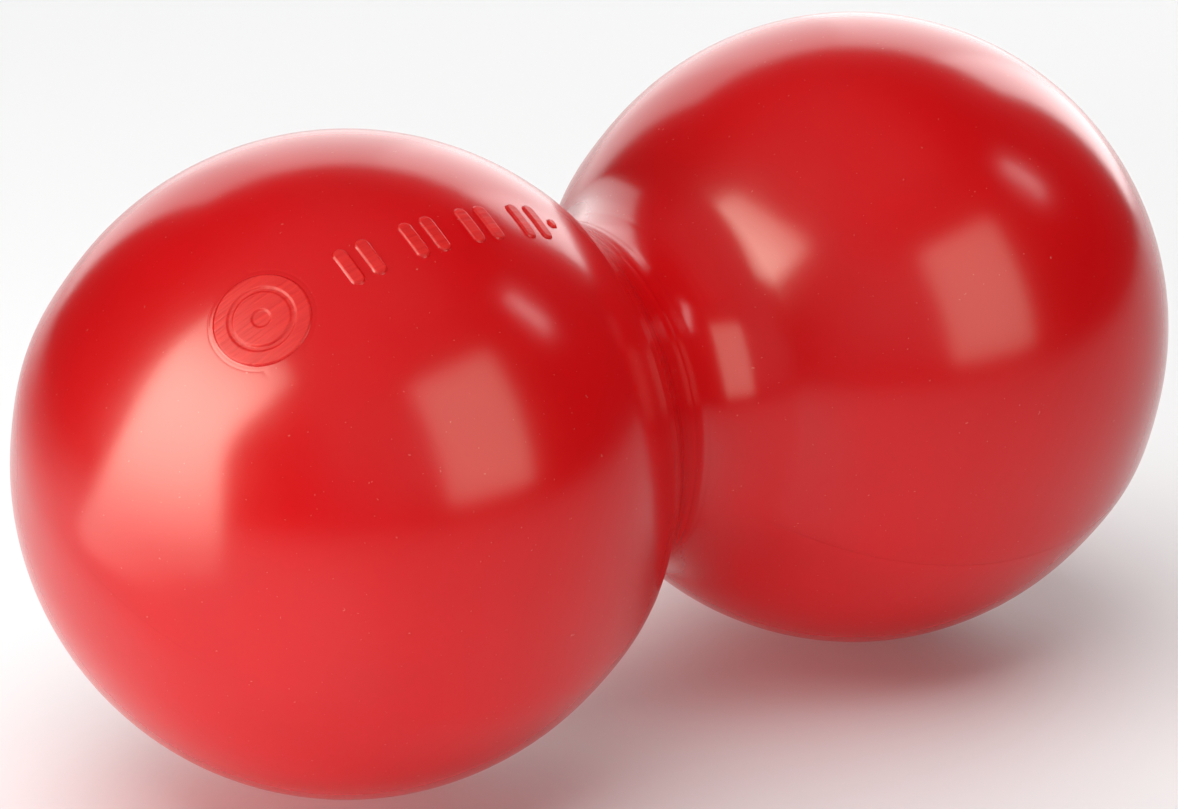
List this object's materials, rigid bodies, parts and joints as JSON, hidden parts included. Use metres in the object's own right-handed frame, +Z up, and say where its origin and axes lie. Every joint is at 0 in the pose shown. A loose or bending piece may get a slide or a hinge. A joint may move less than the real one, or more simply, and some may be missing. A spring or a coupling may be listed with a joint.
{
  "type": "double massage ball",
  "caption": "Peanut-shaped massage ball: two glossy balls joined by a short waist, for rolling along the back or limbs, with a flush air valve.",
  "frame": {"origin": "on the floor under the middle of the waist, the centre of the bounding box's bottom", "axes": "+X along the long axis from the marked ball to the ball with the valve, +Z up, valve pointing along +Y"},
  "size_m": [0.241, 0.12, 0.1197],
  "materials": {
    "shell_pvc": "glossy red soft PVC",
    "valve_pvc": "satin dark red soft PVC",
    "core_rubber": "matte black rubber",
    "plug_plastic": "satin off-white plastic"
  },
  "bodies": {
    "ball": {"upper_shell": "shell_pvc", "lower_shell": "shell_pvc", "valve_housing": "valve_pvc", "valve_core": "core_rubber"},
    "plug": {"valve_plug": "plug_plastic"}
  },
  "joints": [
    {"name": "plug_slide", "type": "slide", "parent": "ball", "child": "plug", "axis": [0, 1, 0], "range_m": [0, 0.012]}
  ]
}
